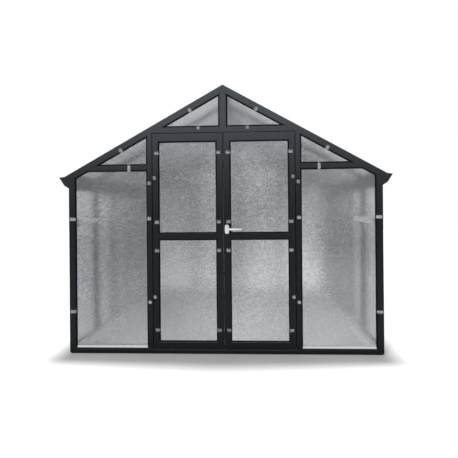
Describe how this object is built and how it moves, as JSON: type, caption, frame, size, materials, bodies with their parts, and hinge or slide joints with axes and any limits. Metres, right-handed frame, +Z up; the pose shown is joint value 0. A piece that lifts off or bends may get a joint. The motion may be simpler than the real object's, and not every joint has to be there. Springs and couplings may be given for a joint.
{
  "type": "polycarbonate greenhouse",
  "caption": "Gable-roofed garden greenhouse with a dark coated metal frame, frosted sheets, eave gutters and a hinged double door in the front gable.",
  "frame": {"origin": "on the ground, in the middle of the plan, which is the centre of the anchor-hole pattern", "axes": "+X to the right across the front gable, +Y from the front gable to the rear one, +Z up"},
  "size_m": [2.846, 3.226, 2.295],
  "materials": {
    "coated_frame": "fine matt powder coat, anthracite",
    "sheet": "frosted, finely embossed translucent plastic sheet",
    "bare_metal": "mill finish",
    "handle": "satin anodised",
    "seal": "black glazing rubber, used by trim only",
    "spring_steel": "bright clips and bolts, used by trim only"
  },
  "bodies": {
    "root": {"front_sill": "coated_frame", "front_sheet_sills": "coated_frame", "rear_sill": "coated_frame", "side_sills": "coated_frame", "gable_base_angles": "bare_metal", "side_base_angles": "bare_metal", "corner_posts": "coated_frame", "door_posts": "coated_frame", "front_rafter_left": "coated_frame", "front_rafter_right": "coated_frame", "front_header": "coated_frame", "front_ties": "coated_frame", "front_king_post": "coated_frame", "rear_rafter_left": "coated_frame", "rear_rafter_right": "coated_frame", "rear_uprights": "coated_frame", "rear_rails": "coated_frame", "ridge_beam": "coated_frame", "eave_beams": "coated_frame", "gutters": "coated_frame", "gutter_end_caps": "coated_frame", "left_wall_bars": "coated_frame", "right_wall_bars": "coated_frame", "left_roof_bars": "coated_frame", "right_roof_bars": "coated_frame", "front_side_sheets": "sheet", "front_gable_sheets": "sheet", "rear_sheets": "sheet", "rear_gable_sheets": "sheet", "left_wall_sheets": "sheet", "right_wall_sheets": "sheet", "left_roof_sheets": "sheet", "right_roof_sheets": "sheet", "inner_brackets": "bare_metal", "frame_hinge_halves": "coated_frame"},
    "left_door": {"left_door_stiles": "coated_frame", "left_door_rails": "coated_frame", "left_door_sheets": "sheet", "left_door_hinges": "coated_frame"},
    "right_door": {"right_door_stiles": "coated_frame", "right_door_rails": "coated_frame", "right_door_sheets": "sheet", "right_door_hinges": "coated_frame", "handle_plates": "handle"},
    "lever": {"door_lever": "handle"}
  },
  "joints": [
    {"name": "left_door_hinge", "type": "hinge", "parent": "root", "child": "left_door", "pos_m": [-0.6105, -1.598, 1], "axis": [0, 0, -1], "range_deg": [0, 110]},
    {"name": "right_door_hinge", "type": "hinge", "parent": "root", "child": "right_door", "pos_m": [0.6105, -1.598, 1], "axis": [0, 0, 1], "range_deg": [0, 110]},
    {"name": "lever_turn", "type": "hinge", "parent": "right_door", "child": "lever", "pos_m": [0.0285, -1.59, 1.062], "axis": [0, 1, 0], "range_deg": [0, 45], "stiffness_Nm_per_rad": 1, "springref_deg": -28.65}
  ]
}
